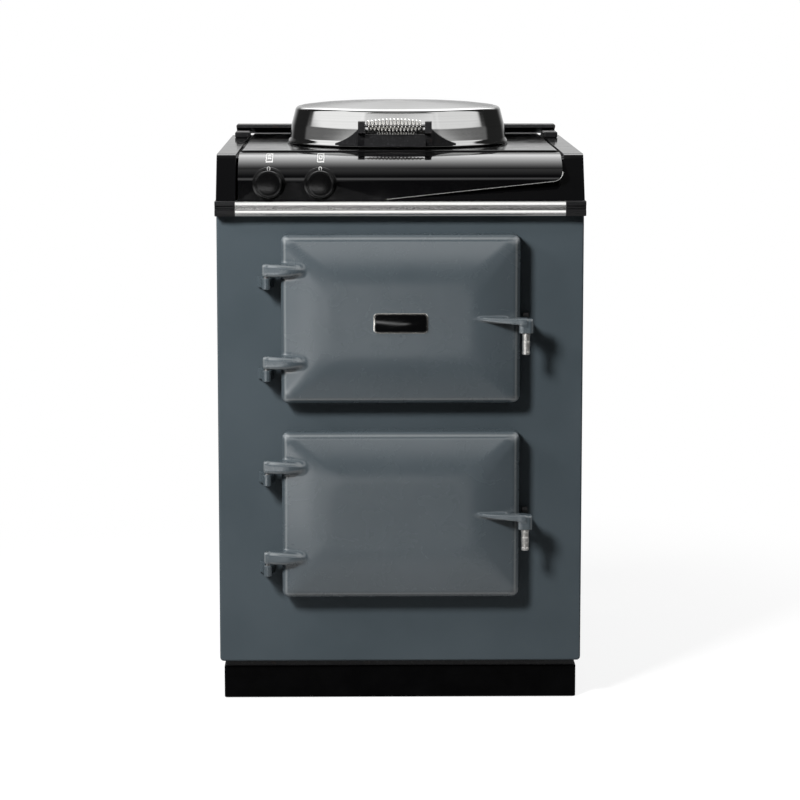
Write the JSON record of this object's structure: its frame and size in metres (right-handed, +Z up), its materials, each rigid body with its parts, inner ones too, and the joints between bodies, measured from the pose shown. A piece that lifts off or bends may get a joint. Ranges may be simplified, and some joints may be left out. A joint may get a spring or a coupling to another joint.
{
  "type": "cast iron range cooker",
  "caption": "Free-standing enamelled cast iron range cooker: stacked ovens behind pillow-faced hinged doors, a round hotplate under a domed lid, rotary controls and a black plinth.",
  "frame": {"origin": "on the floor, under the middle of the cooker's whole box", "axes": "+Z up, the doors face -Y, +X to the right seen from the front"},
  "size_m": [0.6, 0.666, 0.98],
  "materials": {
    "slate_casting": "slate-grey vitreous enamel, glossy",
    "slate_panel": "slate-grey vitreous enamel on sheet steel, glossy",
    "black_enamel": "black vitreous enamel, glossy",
    "black_gloss": "black gloss moulding",
    "black_iron": "black satin paint",
    "black_plastic": "black satin moulding",
    "knob_gloss": "black gloss",
    "plinth_paint": "black paint, satin",
    "stainless": "brushed along its length",
    "spun_steel": "turned and polished, faint concentric lines",
    "polished_chrome": "polished",
    "pin_steel": "bright drawn steel",
    "bare_iron": "bare, machined",
    "oven_enamel": "dark ground-coat enamel, satin",
    "shelf_wire": "bright plated wire",
    "aluminised_sheet": "aluminised sheet, satin",
    "galvanised_steel": "zinc-coated, dull",
    "rope_seal": "braided glass rope",
    "mineral_wool": "pressed mineral wool"
  },
  "bodies": {
    "cabinet": {"plinth": "plinth_paint", "base_plate": "black_iron", "foot_front_left": "galvanised_steel", "foot_rear_left": "galvanised_steel", "foot_front_right": "galvanised_steel", "foot_rear_right": "galvanised_steel", "front_plate": "slate_casting", "left_side_panel": "slate_panel", "right_side_panel": "slate_panel", "rear_panel": "galvanised_steel", "insulation_core": "mineral_wool", "roasting_oven": "oven_enamel", "roasting_shelf": "shelf_wire", "roasting_element": "bare_iron", "simmering_oven": "oven_enamel", "simmering_shelf": "shelf_wire", "simmering_element": "bare_iron", "fascia": "black_gloss", "right_cheek": "black_enamel", "left_cheek": "black_enamel", "top_plate": "black_enamel", "hotplate": "bare_iron", "hotplate_element": "bare_iron", "rear_upstand": "black_iron", "front_trim": "stainless", "left_trim_cap": "black_plastic", "right_trim_cap": "black_plastic", "left_control_switch": "black_plastic", "right_control_switch": "black_plastic", "upper_door_top_hinge": "slate_casting", "upper_door_top_hinge_pin": "pin_steel", "upper_door_bottom_hinge": "slate_casting", "upper_door_bottom_hinge_pin": "pin_steel", "upper_door_keeper": "slate_casting", "lower_door_top_hinge": "slate_casting", "lower_door_top_hinge_pin": "pin_steel", "lower_door_bottom_hinge": "slate_casting", "lower_door_bottom_hinge_pin": "pin_steel", "lower_door_keeper": "slate_casting", "lid_hinge_base": "black_iron", "lid_hinge_pin": "pin_steel", "terminal_box": "black_plastic", "cable_gland": "black_plastic"},
    "upper_door": {"upper_door_casting": "slate_casting", "upper_door_liner": "aluminised_sheet", "upper_door_seal": "rope_seal", "upper_door_grip": "polished_chrome"},
    "lower_door": {"lower_door_casting": "slate_casting", "lower_door_liner": "aluminised_sheet", "lower_door_seal": "rope_seal", "lower_door_grip": "polished_chrome"},
    "lid": {"lid_shell": "spun_steel", "lid_liner": "aluminised_sheet", "lid_hinge_arm": "black_iron", "lid_handle_bracket": "black_iron", "lid_handle_coil": "polished_chrome", "lid_handle_rod": "pin_steel"},
    "left_control": {"left_knob": "knob_gloss"},
    "right_control": {"right_knob": "knob_gloss"}
  },
  "joints": [
    {"name": "upper_door_hinge", "type": "hinge", "parent": "cabinet", "child": "upper_door", "pos_m": [-0.217, -0.305, 0.6415], "axis": [0, 0, -1], "range_deg": [0, 115]},
    {"name": "lower_door_hinge", "type": "hinge", "parent": "cabinet", "child": "lower_door", "pos_m": [-0.217, -0.305, 0.3199], "axis": [0, 0, -1], "range_deg": [0, 115]},
    {"name": "lid_hinge", "type": "hinge", "parent": "cabinet", "child": "lid", "pos_m": [0, 0.248, 0.925], "axis": [-1, 0, 0], "range_deg": [0, 95]},
    {"name": "left_knob_turn", "type": "hinge", "parent": "cabinet", "child": "left_control", "pos_m": [-0.2124, -0.2798, 0.8596], "axis": [0, 1, 0], "range_deg": [0, 270]},
    {"name": "right_knob_turn", "type": "hinge", "parent": "cabinet", "child": "right_control", "pos_m": [-0.1292, -0.2798, 0.8596], "axis": [0, 1, 0], "range_deg": [0, 270]}
  ]
}
